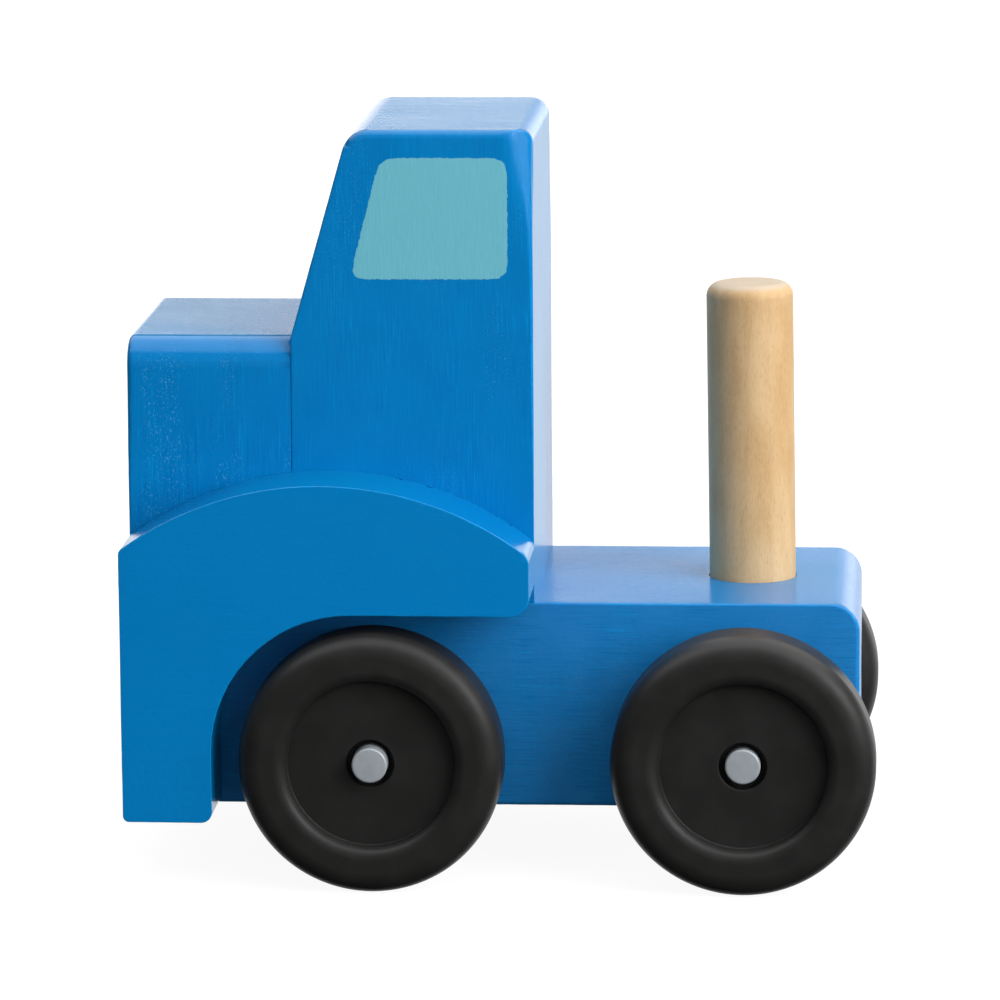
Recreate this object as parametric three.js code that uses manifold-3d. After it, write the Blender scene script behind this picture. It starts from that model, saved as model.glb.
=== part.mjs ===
// Chunky wooden toy truck: a bed block on two axles, a hood block, a cab block with a raked
// front, two fender plates glued to the sides and one upright peg in the bed.
// Millimetres. +X is the front, +Y is the truck's left, +Z is up.
// The origin is under the middle of the whole toy, on the floor.
import * as THREE from 'three';
import { mergeVertices } from 'three/addons/utils/BufferGeometryUtils.js';
import Module from 'manifold-3d';

const wasm = await Module();
wasm.setup();

// ---- Driving dimensions -------------------------------------------------------------------

// Wood blocks. Lengths along the truck are measured back from the front face.
const bodyLength = 105.6;
const bodyWidth = 44;
const floorClearance = 10;
const bedTop = 40.1;
const bedRearRound = 4.5;
const hoodLength = 23.7;
const hoodTop = 78.4;
const hoodEdgeRound = 3.4;
const cabBack = 58.7;
const cabTop = 108.5;
const cabRake = 8.6; // how far the cab's front leans back between hood top and roof
const cabFrontRound = 5;
const cabBackRound = 3;
const smallRound = 0.8; // hand-sanded edge
const glueGap = 0.2; // glue film between two blocks; hood and cab sit in a seat this deep

// Fender plates: a domed top edge, and a wheel arch cut from the lower rear.
const fenderThickness = 12.7;
const fenderDomeRadius = 48.5;
const fenderDomeTop = 59.3;
const fenderDomeCentre = 29;
const fenderUnderside = 40.5;
const fenderLegWidth = 12.9;
const archRadius = 20.2;
const fenderTailRound = 2.7;
const fenderTrim = { left: 0, right: 0.8 }; // how far each tail stops short of the cab's rear face

// Running gear.
const wheelDiameter = 38;
const wheelWidth = 12;
const frontAxleBack = 35.8; // behind the front face
const rearAxleBack = 89.1;
const axleDiameter = 5.1;
const axleLength = 70.7;
const axleEndChamfer = 0.3;
const frontAxleSlide = 0.9; // the front rod sits this far towards the left wheel
const rearAxleSlide = -0.4;
const axleRunningGap = 0.3; // radial play of a rod in its bed bore
const hubSideGap = 0.4; // between a wheel's inner hub and the bed side
const pressGap = 0.08; // drawn between a rod and the wheel pressed on it

// Wheel section.
const wheelShoulder = 3.4; // rounding between side ring and tread
const wheelInnerShoulder = 4;
const discRadius = 12;
const discRecess = 2.4; // how far the flat disc lies below the side ring's crest
const lipRadius = 1.9;
const counterboreRadius = 3.45;
const counterboreDepth = 2;
const webThickness = 3;
const hubRadius = 5.5;
const hubReach = 2.6; // how far the inner hub stands out past the rim
const rimInnerRadius = 14.6;

// Upright peg, glued in a blind hole over the rear axle.
const pegDiameter = 12.7;
const pegTop = 83.8;
const pegTenon = 14;
const pegTopRound = 2;
const pegHoleGap = 0.1; // radial glue gap

// Hidden dowels that line the blocks up while they are glued.
const dowelDiameter = 6;
const dowelLength = 16;
const dowelHoleGap = 0.1; // radial
const dowelEndGap = 0.5; // spare depth at each end of a dowel's hole
const dowelChamfer = 0.6;

// ---- Derived places -----------------------------------------------------------------------

const wheelRadius = wheelDiameter / 2;
const frontX = (rearAxleBack + wheelRadius) / 2; // the rear wheels reach furthest back
const fromFront = (distance) => frontX - distance;
const bodySide = bodyWidth / 2;
const fenderFace = bodySide + fenderThickness;
const axleRadius = axleDiameter / 2;
const hubInner = bodySide + hubSideGap;
const glueSeat = bedTop - glueGap; // where the chassis block's top is planed down for hood and cab
const deckFront = cabBack + glueGap;
const wheelInner = hubInner + hubReach; // plane of the rim's inner edge
const roundSteps = 24; // facets in a full turn of a small round
const dowelSteps = 16;
const pegSteps = 36;
const wheelSteps = 40;

const axlePlaces = [
  { name: 'front', x: fromFront(frontAxleBack), slide: frontAxleSlide },
  { name: 'rear', x: fromFront(rearAxleBack), slide: rearAxleSlide },
];
const sides = [
  { name: 'left', sign: 1 },
  { name: 'right', sign: -1 },
];

// ---- Finishes -----------------------------------------------------------------------------

const bluePaint = () => new THREE.MeshStandardMaterial({ color: 0x0374b7, roughness: 0.35, metalness: 0 });
const bareWood = () => new THREE.MeshStandardMaterial({ color: 0xcea775, roughness: 0.6, metalness: 0 });
const blackPlastic = () => new THREE.MeshStandardMaterial({ color: 0x212121, roughness: 0.45, metalness: 0 });
const platedSteel = () => new THREE.MeshStandardMaterial({ color: 0x949ca0, roughness: 0.35, metalness: 1 });

// ---- Shape helpers ------------------------------------------------------------------------

// A closed outline through corners [across, up, radius], each corner rounded by its radius.
function roundedOutline(corners) {
  const points = [];
  corners.forEach(([across, up, radius], index) => {
    const corner = new THREE.Vector2(across, up);
    if (radius === 0) {
      points.push(corner);
      return;
    }
    const before = corners.at(index - 1);
    const after = corners[(index + 1) % corners.length];
    const toBefore = new THREE.Vector2(before[0], before[1]).sub(corner).normalize();
    const toAfter = new THREE.Vector2(after[0], after[1]).sub(corner).normalize();
    const half = Math.acos(THREE.MathUtils.clamp(toBefore.dot(toAfter), -1, 1)) / 2;
    const reach = radius / Math.tan(half);
    const bisector = toBefore.clone().add(toAfter).normalize();
    const centre = corner.clone().addScaledVector(bisector, radius / Math.sin(half));
    const start = corner.clone().addScaledVector(toBefore, reach).sub(centre);
    const turn = Math.PI - 2 * half;
    const sense = Math.sign(start.cross(corner.clone().addScaledVector(toAfter, reach).sub(centre)));
    const steps = Math.max(3, Math.ceil((turn / (2 * Math.PI)) * roundSteps));
    for (let step = 0; step <= steps; step += 1) {
      const swing = start.clone().rotateAround(new THREE.Vector2(), (sense * turn * step) / steps);
      points.push(centre.clone().add(swing));
    }
  });
  return points;
}

// Side-view outline [distance behind the front, height, radius], extruded across the truck.
function sideExtrusion(corners, width) {
  const points = roundedOutline(corners).map((point) => new THREE.Vector2(fromFront(point.x), point.y));
  const geometry = new THREE.ExtrudeGeometry(new THREE.Shape(points), { depth: width, bevelEnabled: false });
  return geometry.rotateX(Math.PI / 2).translate(0, width / 2, 0);
}

// A closed turned body about Z from a profile of [radius, height] points.
function turned(profile, steps) {
  const points = profile.map(([radius, height]) => new THREE.Vector2(radius, height));
  return new THREE.LatheGeometry(points, steps).rotateX(Math.PI / 2);
}

// A quarter round between two profile directions, from one angle to the other, in degrees.
function profileArc(centreRadius, centreHeight, radius, fromAngle, toAngle, steps) {
  return Array.from({ length: steps + 1 }, (_, step) => {
    const angle = THREE.MathUtils.degToRad(fromAngle + ((toAngle - fromAngle) * step) / steps);
    return [centreRadius + radius * Math.cos(angle), centreHeight + radius * Math.sin(angle)];
  });
}

function toSolid(geometry) {
  const bare = geometry.clone();
  bare.deleteAttribute('normal');
  bare.deleteAttribute('uv');
  const merged = mergeVertices(bare, 1e-4);
  return new wasm.Manifold(new wasm.Mesh({
    numProp: 3,
    vertProperties: new Float32Array(merged.attributes.position.array),
    triVerts: new Uint32Array(merged.index.array),
  }));
}

function toGeometry(solid) {
  const mesh = solid.getMesh();
  const geometry = new THREE.BufferGeometry();
  geometry.setAttribute('position', new THREE.BufferAttribute(new Float32Array(mesh.vertProperties), 3));
  geometry.setIndex(new THREE.BufferAttribute(new Uint32Array(mesh.triVerts), 1));
  geometry.computeVertexNormals();
  return geometry;
}

function cut(geometry, cutters) {
  const solid = cutters.reduce((left, cutter) => left.subtract(toSolid(cutter)), toSolid(geometry));
  return toGeometry(solid);
}

// Cylinder along Z or Y, centred on its place.
function rod(radius, length, axis, place, steps) {
  const geometry = new THREE.CylinderGeometry(radius, radius, length, steps);
  if (axis === 'z') {
    geometry.rotateX(Math.PI / 2);
  }
  return geometry.translate(place.x, place.y, place.z);
}

function chamferedRod(radius, length, chamfer, steps) {
  return turned([
    [0, -length / 2],
    [radius - chamfer, -length / 2],
    [radius, -length / 2 + chamfer],
    [radius, length / 2 - chamfer],
    [radius - chamfer, length / 2],
    [0, length / 2],
  ], steps);
}

// ---- Dowels -------------------------------------------------------------------------------

// Every dowel crosses one glue face: its centre lies on that face.
const uprightDowels = [
  { name: 'hood_dowel_left', x: fromFront(12), y: 11, z: bedTop },
  { name: 'hood_dowel_right', x: fromFront(12), y: -11, z: bedTop },
  { name: 'cab_dowel_front', x: fromFront(32), y: 0, z: bedTop },
  { name: 'cab_dowel_rear', x: fromFront(50), y: 0, z: bedTop },
].map((dowel) => ({ ...dowel, axis: 'z' }));

const fenderDowels = sides.flatMap(({ name, sign }) => [
  { name: `fender_${name}_dowel_front`, x: fromFront(6.4), y: sign * bodySide, z: 28, axis: 'y' },
  { name: `fender_${name}_dowel_rear`, x: fromFront(44), y: sign * bodySide, z: 49, axis: 'y' },
]);

const dowelHole = (dowel) =>
  rod(dowelDiameter / 2 + dowelHoleGap, dowelLength + 2 * dowelEndGap, dowel.axis, dowel, dowelSteps);

function dowelMesh(dowel) {
  const geometry = chamferedRod(dowelDiameter / 2, dowelLength, dowelChamfer, dowelSteps);
  if (dowel.axis === 'y') {
    geometry.rotateX(Math.PI / 2);
  }
  const mesh = new THREE.Mesh(geometry, bareWood());
  mesh.name = dowel.name;
  mesh.position.set(dowel.x, dowel.y, dowel.z);
  return mesh;
}

// ---- Wood blocks --------------------------------------------------------------------------

function chassisBlock() {
  const outline = sideExtrusion([
    [0, floorClearance, smallRound],
    [bodyLength, floorClearance, smallRound],
    [bodyLength, bedTop, bedRearRound],
    [deckFront, bedTop, 0],
    [deckFront, glueSeat, 0],
    [0, glueSeat, 0],
  ], bodyWidth);
  const bores = axlePlaces.map(({ x }) =>
    rod(axleRadius + axleRunningGap, bodyWidth + 2, 'y', { x, y: 0, z: wheelRadius }, roundSteps));
  const pegHoleDepth = pegTenon + dowelEndGap;
  const pegHole = rod(pegDiameter / 2 + pegHoleGap, 2 * pegHoleDepth, 'z',
    { x: fromFront(rearAxleBack), y: 0, z: bedTop }, pegSteps);
  return cut(outline, [...bores, pegHole, ...uprightDowels.map(dowelHole), ...fenderDowels.map(dowelHole)]);
}

// The hood's section is constant along the truck, with both long top edges rounded.
function hoodBlock() {
  const length = hoodLength - glueGap;
  const section = roundedOutline([
    [-bodySide, bedTop, 0],
    [bodySide, bedTop, 0],
    [bodySide, hoodTop, hoodEdgeRound],
    [-bodySide, hoodTop, hoodEdgeRound],
  ]);
  const block = new THREE.ExtrudeGeometry(new THREE.Shape(section), { depth: length, bevelEnabled: false });
  block.rotateX(Math.PI / 2).rotateZ(Math.PI / 2).translate(frontX - length, 0, 0);
  return cut(block, [...uprightDowels.map(dowelHole), ...fenderDowels.map(dowelHole)]);
}

function cabBlock() {
  const outline = sideExtrusion([
    [hoodLength, bedTop, 0],
    [cabBack, bedTop, 0],
    [cabBack, cabTop, cabBackRound],
    [hoodLength + cabRake, cabTop, cabFrontRound],
    [hoodLength, hoodTop, 0],
  ], bodyWidth);
  return cut(outline, [...uprightDowels.map(dowelHole), ...fenderDowels.map(dowelHole)]);
}

// Height of the fender's domed edge at a distance behind the front face.
function domeHeight(distance) {
  const across = distance - fenderDomeCentre;
  return fenderDomeTop - fenderDomeRadius + Math.sqrt(fenderDomeRadius ** 2 - across ** 2);
}

function fenderPlate(sign, trim) {
  const tail = cabBack - trim;
  const domeSteps = 22;
  const dome = Array.from({ length: domeSteps - 1 }, (_, step) => {
    const distance = tail * (1 - (step + 1) / domeSteps);
    return [distance, domeHeight(distance), 0];
  });
  const thickness = fenderThickness - glueGap;
  const plate = sideExtrusion([
    [0, floorClearance, smallRound],
    [fenderLegWidth, floorClearance, smallRound],
    [fenderLegWidth, fenderUnderside, archRadius],
    [tail, fenderUnderside, fenderTailRound],
    [tail, domeHeight(tail), smallRound],
    ...dome,
    [0, domeHeight(0), smallRound],
  ], thickness);
  plate.translate(0, sign * (fenderFace - thickness / 2), 0);
  return cut(plate, fenderDowels.map(dowelHole));
}

// ---- Peg, axles and wheels ----------------------------------------------------------------

function peg() {
  const radius = pegDiameter / 2;
  return turned([
    [0, bedTop - pegTenon],
    [radius - smallRound, bedTop - pegTenon],
    [radius, bedTop - pegTenon + smallRound],
    ...profileArc(radius - pegTopRound, pegTop - pegTopRound, pegTopRound, 0, 90, 4),
    [0, pegTop],
  ], pegSteps);
}

// One moulded wheel about Z, its outer side up: tread ring, recessed disc, web and inner hub.
// Height 0 is the rim's inner edge.
function wheel() {
  const discHeight = wheelWidth - discRecess;
  const boreRadius = axleRadius + pressGap;
  const profile = [
    [boreRadius, -hubReach],
    [hubRadius, -hubReach],
    [hubRadius, discHeight - webThickness],
    [rimInnerRadius, discHeight - webThickness],
    [rimInnerRadius, 0],
    ...profileArc(wheelRadius - wheelInnerShoulder, wheelInnerShoulder, wheelInnerShoulder, -90, 0, 3),
    ...profileArc(wheelRadius - wheelShoulder, wheelWidth - wheelShoulder, wheelShoulder, 0, 90, 4),
    ...profileArc(discRadius + lipRadius, wheelWidth - lipRadius, lipRadius, 90, 180, 3),
    [discRadius, discHeight],
    [counterboreRadius, discHeight],
    [counterboreRadius, discHeight - counterboreDepth],
    [boreRadius, discHeight - counterboreDepth],
  ];
  return turned([...profile, profile[0]], wheelSteps);
}

// ---- Assembly -----------------------------------------------------------------------------

const truck = new THREE.Group();

function addMesh(name, geometry, material) {
  const mesh = new THREE.Mesh(geometry, material);
  mesh.name = name;
  truck.add(mesh);
  return mesh;
}

addMesh('chassis_block', chassisBlock(), bluePaint());
addMesh('hood_block', hoodBlock(), bluePaint());
addMesh('cab_block', cabBlock(), bluePaint());
sides.forEach(({ name, sign }) => addMesh(`fender_${name}`, fenderPlate(sign, fenderTrim[name]), bluePaint()));
addMesh('stacking_peg', peg(), bareWood()).position.set(fromFront(rearAxleBack), 0, 0);
[...uprightDowels, ...fenderDowels].forEach((dowel) => truck.add(dowelMesh(dowel)));

axlePlaces.forEach((axle) => {
  const wheelset = new THREE.Group();
  wheelset.position.set(axle.x, 0, wheelRadius);
  const axleRod = new THREE.Mesh(
    chamferedRod(axleRadius, axleLength, axleEndChamfer, roundSteps), platedSteel());
  axleRod.name = `${axle.name}_axle_rod`;
  axleRod.rotation.x = Math.PI / 2;
  axleRod.position.y = axle.slide;
  wheelset.add(axleRod);
  sides.forEach(({ name, sign }) => {
    const wheelMesh = new THREE.Mesh(wheel(), blackPlastic());
    wheelMesh.name = `wheel_${axle.name}_${name}`;
    wheelMesh.rotation.x = (-sign * Math.PI) / 2;
    wheelMesh.position.y = sign * wheelInner;
    wheelset.add(wheelMesh);
  });
  truck.add(wheelset);
});

export default truck;
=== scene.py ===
"""Chunky wooden toy truck: fine surfaces, finishes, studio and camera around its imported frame.

Lengths in this file are millimetres in the row frame (+X front, +Y the truck's left, +Z up) and
become metres where a mesh is finished. Each wood block is a rounded prism cut into small cells,
hand-sanded by vertex moves; the turned pieces come from one Geometry Nodes tree.
"""

import logging
import math
from dataclasses import dataclass, field
from enum import Enum
from typing import Callable, Iterable, Sequence

import bmesh
import bpy
import numpy as np
from mathutils import Matrix, Vector, noise


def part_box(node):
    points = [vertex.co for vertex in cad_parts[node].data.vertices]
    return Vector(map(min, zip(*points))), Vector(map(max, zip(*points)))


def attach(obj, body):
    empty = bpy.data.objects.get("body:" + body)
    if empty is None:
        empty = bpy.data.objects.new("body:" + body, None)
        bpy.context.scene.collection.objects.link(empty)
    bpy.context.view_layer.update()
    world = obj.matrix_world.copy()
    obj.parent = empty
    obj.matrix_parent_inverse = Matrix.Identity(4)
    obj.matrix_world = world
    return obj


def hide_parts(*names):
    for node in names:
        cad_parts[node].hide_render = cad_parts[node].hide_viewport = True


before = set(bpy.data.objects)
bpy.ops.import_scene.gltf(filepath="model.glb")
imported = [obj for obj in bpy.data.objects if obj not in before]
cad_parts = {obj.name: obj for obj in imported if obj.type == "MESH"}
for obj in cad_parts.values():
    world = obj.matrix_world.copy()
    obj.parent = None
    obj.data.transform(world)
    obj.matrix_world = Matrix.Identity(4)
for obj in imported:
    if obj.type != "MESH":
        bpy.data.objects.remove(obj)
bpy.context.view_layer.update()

log = logging.getLogger("toy_truck")
METRE = 1000.0

Point2 = tuple[float, float]
EdgeRound = Callable[[float, float, bool], float]


class Side(Enum):
    """Which side of the truck a piece is on; the value is the sign of its Y."""

    LEFT = 1
    RIGHT = -1

    @property
    def word(self) -> str:
        """The side's name in lower case."""
        return self.name.lower()


class Axle(Enum):
    """The two wheelsets, by the word that their node names use."""

    FRONT = "front"
    REAR = "rear"


class Push(Enum):
    """Which way a flat outline is pushed to make a block."""

    ACROSS = "across"  # side-view outline (x, z), pushed along Y
    ALONG = "along"  # front-view outline (y, z), pushed along X

    def place(self, u: float, v: float, depth: float) -> Vector:
        """The 3-D point of outline point (u, v) at a depth."""
        return Vector((u, depth, v)) if self is Push.ACROSS else Vector((depth, u, v))


class Slot(Enum):
    """The record's material slots."""

    BLUE_PAINT = "blue_paint"
    BARE_WOOD = "bare_wood"
    BLACK_PLASTIC = "black_plastic"
    PLATED_STEEL = "plated_steel"


class GrainRun(Enum):
    """Which way the wood's fibres run under a finish, as stretch factors of the pattern."""

    UPRIGHT = (1.0, 1.0, 0.035)
    LENGTHWISE = (0.035, 1.0, 1.0)


@dataclass(frozen=True)
class Span:
    """A node's box at rest, in millimetres."""

    low: Vector
    high: Vector

    @classmethod
    def of(cls, node: str) -> "Span":
        """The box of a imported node."""
        low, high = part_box(node)
        return cls(low * METRE, high * METRE)

    @property
    def centre(self) -> Vector:
        """The middle of the box."""
        return (self.low + self.high) / 2

    @property
    def size(self) -> Vector:
        """The box's three sides."""
        return self.high - self.low


# ---- Outlines and prisms --------------------------------------------------------------------


@dataclass(frozen=True)
class Corner:
    """One corner of a flat outline and its rounding radius."""

    u: float
    v: float
    radius: float = 0.0


def rounded_outline(corners: Sequence[Corner], arc_step: float = 6.0) -> list[Point2]:
    """Rounds the corners of a closed outline.

    Args:
        corners: the outline's corners in order.
        arc_step: degrees turned by one facet of an arc.

    Returns:
        The outline's points, with arcs in place of the rounded corners.
    """
    points: list[Point2] = []
    for index, corner in enumerate(corners):
        here = Vector((corner.u, corner.v))
        if corner.radius == 0:
            points.append((here.x, here.y))
            continue
        before = corners[index - 1]
        after = corners[(index + 1) % len(corners)]
        to_before = (Vector((before.u, before.v)) - here).normalized()
        to_after = (Vector((after.u, after.v)) - here).normalized()
        half = math.acos(max(-1.0, min(1.0, to_before.dot(to_after)))) / 2
        reach = corner.radius / math.tan(half)
        centre = here + (to_before + to_after).normalized() * (corner.radius / math.sin(half))
        start = here + to_before * reach - centre
        turn = math.pi - 2 * half
        end = here + to_after * reach - centre
        sense = math.copysign(1.0, start.x * end.y - start.y * end.x)
        steps = max(3, math.ceil(math.degrees(turn) / arc_step))
        for step in range(steps + 1):
            swing = Matrix.Rotation(sense * turn * step / steps, 2) @ start
            points.append((centre.x + swing.x, centre.y + swing.y))
    return points


def inward_normals(points: Sequence[Point2]) -> list[Vector]:
    """Inward mitre vectors of a closed outline, one for each point.

    Args:
        points: the outline's points in order, either way round.

    Returns:
        Vectors that move each point so that both its edges move in by one unit.
    """
    count = len(points)
    area = sum(
        points[i - 1][0] * points[i][1] - points[i][0] * points[i - 1][1] for i in range(count)
    )
    sense = 1.0 if area > 0 else -1.0
    edges = []
    for index in range(count):
        step = Vector(points[(index + 1) % count]) - Vector(points[index])
        edges.append(Vector((-step.y, step.x)).normalized() * sense)
    mitres = []
    for index in range(count):
        before, after = edges[index - 1], edges[index]
        middle = (before + after).normalized()
        mitres.append(middle / max(0.35, middle.dot(after)))
    return mitres


def rounded_prism(
    points: Sequence[Point2], push: Push, low: float, high: float, edge_round: EdgeRound
) -> bmesh.types.BMesh:
    """Pushes an outline into a closed block whose two end faces have rounded edges.

    Args:
        points: the outline.
        push: the way it is pushed.
        low: depth of the first end face.
        high: depth of the second end face.
        edge_round: radius at an outline point (u, v), and whether it is the high end.

    Returns:
        The block as a bmesh, faces outwards.
    """
    ring_steps = 6
    mitres = inward_normals(points)
    block = bmesh.new()
    rings: list[list[bmesh.types.BMVert]] = []
    for is_high in (False, True):
        angles = [math.pi / 2 * step / ring_steps for step in range(ring_steps + 1)]
        for angle in angles if is_high else reversed(angles):
            ring = []
            for (u, v), mitre in zip(points, mitres):
                radius = edge_round(u, v, is_high)
                inset = radius * (1 - math.cos(angle))
                rise = radius * (1 - math.sin(angle))
                depth = high - rise if is_high else low + rise
                ring.append(block.verts.new(push.place(u + mitre.x * inset, v + mitre.y * inset, depth)))
            rings.append(ring)
    for lower, upper in zip(rings, rings[1:]):
        for index in range(len(points)):
            block.faces.new((lower[index - 1], lower[index], upper[index], upper[index - 1]))
    block.faces.new(rings[0])
    block.faces.new(rings[-1])
    bmesh.ops.recalc_face_normals(block, faces=block.faces)
    return block


def cylinder_cutter(centre: Vector, radius: float, length: float, axis: str) -> bmesh.types.BMesh:
    """A plain cylinder that cuts a hole and is then thrown away.

    Args:
        centre: its middle.
        radius: its radius.
        length: its length.
        axis: "y" or "z".

    Returns:
        The cylinder as a bmesh.
    """
    cutter = bmesh.new()
    turn = Matrix.Rotation(math.pi / 2, 4, "X") if axis == "y" else Matrix.Identity(4)
    bmesh.ops.create_cone(
        cutter, cap_ends=True, segments=64, radius1=radius, radius2=radius, depth=length,
        matrix=Matrix.Translation(centre) @ turn,
    )
    return cutter


def scratch_object(name: str, shape: bmesh.types.BMesh) -> bpy.types.Object:
    """Links a throwaway object that holds a bmesh, and frees the bmesh."""
    mesh = bpy.data.meshes.new(name)
    shape.to_mesh(mesh)
    shape.free()
    made = bpy.data.objects.new(name, mesh)
    bpy.context.scene.collection.objects.link(made)
    return made


def evaluated_mesh(made: bpy.types.Object) -> bpy.types.Mesh:
    """The mesh of an object with its modifiers applied."""
    bpy.context.view_layer.update()
    graph = bpy.context.evaluated_depsgraph_get()
    return bpy.data.meshes.new_from_object(made.evaluated_get(graph))


def drilled(block: bmesh.types.BMesh, holes: Iterable[bmesh.types.BMesh]) -> bmesh.types.BMesh:
    """Cuts holes into a block.

    Args:
        block: the block, freed here.
        holes: closed cutters, freed here.

    Returns:
        The block with its holes.
    """
    target = scratch_object("drilling", block)
    cutters = [scratch_object("drill", hole) for hole in holes]
    for cutter in cutters:
        step = target.modifiers.new("hole", "BOOLEAN")
        step.operation = "DIFFERENCE"
        step.solver = "EXACT"
        step.object = cutter
    mesh = evaluated_mesh(target)
    result = bmesh.new()
    result.from_mesh(mesh)
    for used in (target, *cutters):
        bpy.data.objects.remove(used)
    bpy.data.meshes.remove(mesh)
    return result


def cut_cells(block: bmesh.types.BMesh, cell: float) -> None:
    """Slices a block by evenly spaced planes, so that its faces can be shaped."""
    coords = np.array([vert.co for vert in block.verts])
    for axis in range(3):
        low, high = coords[:, axis].min(), coords[:, axis].max()
        count = max(1, round((high - low) / cell))
        normal = Vector([float(axis == other) for other in range(3)])
        for step in range(1, count):
            bmesh.ops.bisect_plane(
                block,
                geom=block.verts[:] + block.edges[:] + block.faces[:],
                plane_co=normal * (low + (high - low) * step / count),
                plane_no=normal,
                dist=1e-5,
            )


# ---- Hand sanding ---------------------------------------------------------------------------


@dataclass(frozen=True)
class SandedFlat:
    """A flat that a sanding belt left: whatever stands past its plane is worn back to it."""

    point: Vector
    normal: Vector
    softness: float = 0.35

    def apply(self, coords: np.ndarray) -> np.ndarray:
        """The coordinates worn back, with a soft edge round the flat."""
        normal = np.array(self.normal.normalized())
        above = (coords - np.array(self.point)) @ normal
        worn = self.softness * np.logaddexp(0.0, np.clip(above / self.softness, -40, 40))
        return coords - np.outer(np.where(above > -4 * self.softness, worn, 0.0), normal)


@dataclass(frozen=True)
class Sanding:
    """The small unevenness that hand sanding and thick paint leave on a block."""

    seed: float
    waver: float = 0.035
    waver_pitch: float = 14.0
    nibble: float = 0.03
    nibble_pitch: float = 1.7
    flats: tuple[SandedFlat, ...] = ()

    def apply(self, block: bmesh.types.BMesh) -> None:
        """Moves the block's vertices and stores how sharply its surface turns at each."""
        block.normal_update()
        coords = np.array([vert.co for vert in block.verts])
        for flat in self.flats:
            coords = flat.apply(coords)
        for vert, co in zip(block.verts, coords):
            vert.co = co
        block.normal_update()
        turn_layer = block.verts.layers.float.new("edge_turn")
        for vert in block.verts:
            vert[turn_layer] = self.edge_turn(vert)
        offset = Vector((self.seed * 17.3, self.seed * 5.1, self.seed * 9.7))
        moves = []
        for vert in block.verts:
            slow = noise.noise(vert.co / self.waver_pitch + offset) * self.waver
            quick = noise.noise(vert.co / self.nibble_pitch - offset) * self.nibble
            moves.append(vert.normal * (slow + quick * vert[turn_layer]))
        for vert, move in zip(block.verts, moves):
            vert.co += move

    @staticmethod
    def edge_turn(vert: bmesh.types.BMVert) -> float:
        """How tightly the surface bends outwards at a vertex: 0 on flats, 1 at a 0.4 mm round."""
        tightest = 0.0
        for edge in vert.link_edges:
            if len(edge.link_faces) != 2 or edge.calc_length() < 1e-6:
                continue
            angle = edge.calc_face_angle_signed(0.0)
            width = sum(face.calc_area() for face in edge.link_faces) / 2 / edge.calc_length()
            tightest = max(tightest, angle / max(width, 0.02))
        return min(1.0, tightest / 2.5)


def finish_mesh(mesh: bpy.types.Mesh, name: str) -> bpy.types.Object:
    """Makes a visible object from a mesh in metres, with clean shading on flats and rounds.

    Args:
        mesh: the piece's mesh, in place.
        name: the piece's name.

    Returns:
        The object at the origin, with no modifier left on it.
    """
    mesh.name = name
    for polygon in mesh.polygons:
        polygon.use_smooth = True
    made = bpy.data.objects.new(name, mesh)
    bpy.context.scene.collection.objects.link(made)
    shading = made.modifiers.new("flat_weighted", "WEIGHTED_NORMAL")
    shading.mode = "FACE_AREA"
    shading.keep_sharp = True
    shaded = evaluated_mesh(made)
    made.modifiers.remove(shading)
    made.data = shaded
    bpy.data.meshes.remove(mesh)
    shaded.name = name
    return made


def sanded_piece(block: bmesh.types.BMesh, name: str, sanding: Sanding, cell: float) -> bpy.types.Object:
    """Cuts a block into cells, sands it and turns it into a visible object.

    Args:
        block: the block in millimetres, freed here.
        name: the piece's name.
        sanding: its unevenness and flats.
        cell: the size of a cell.

    Returns:
        The finished object.
    """
    bmesh.ops.remove_doubles(block, verts=block.verts, dist=1e-4)
    cut_cells(block, cell)
    sanding.apply(block)
    for edge in block.edges:
        edge.smooth = edge.calc_face_angle(0.0) < math.radians(50)
    bmesh.ops.scale(block, vec=(1 / METRE,) * 3, verts=block.verts)
    mesh = bpy.data.meshes.new(name)
    block.to_mesh(mesh)
    block.free()
    return finish_mesh(mesh, name)


# ---- Turned pieces: one Geometry Nodes tree ---------------------------------------------------


@dataclass(frozen=True)
class SectionCorner:
    """One corner of a turned section; the words name sizes of the piece."""

    radius: str
    height: str
    rounding: str = "small_round"


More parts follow.
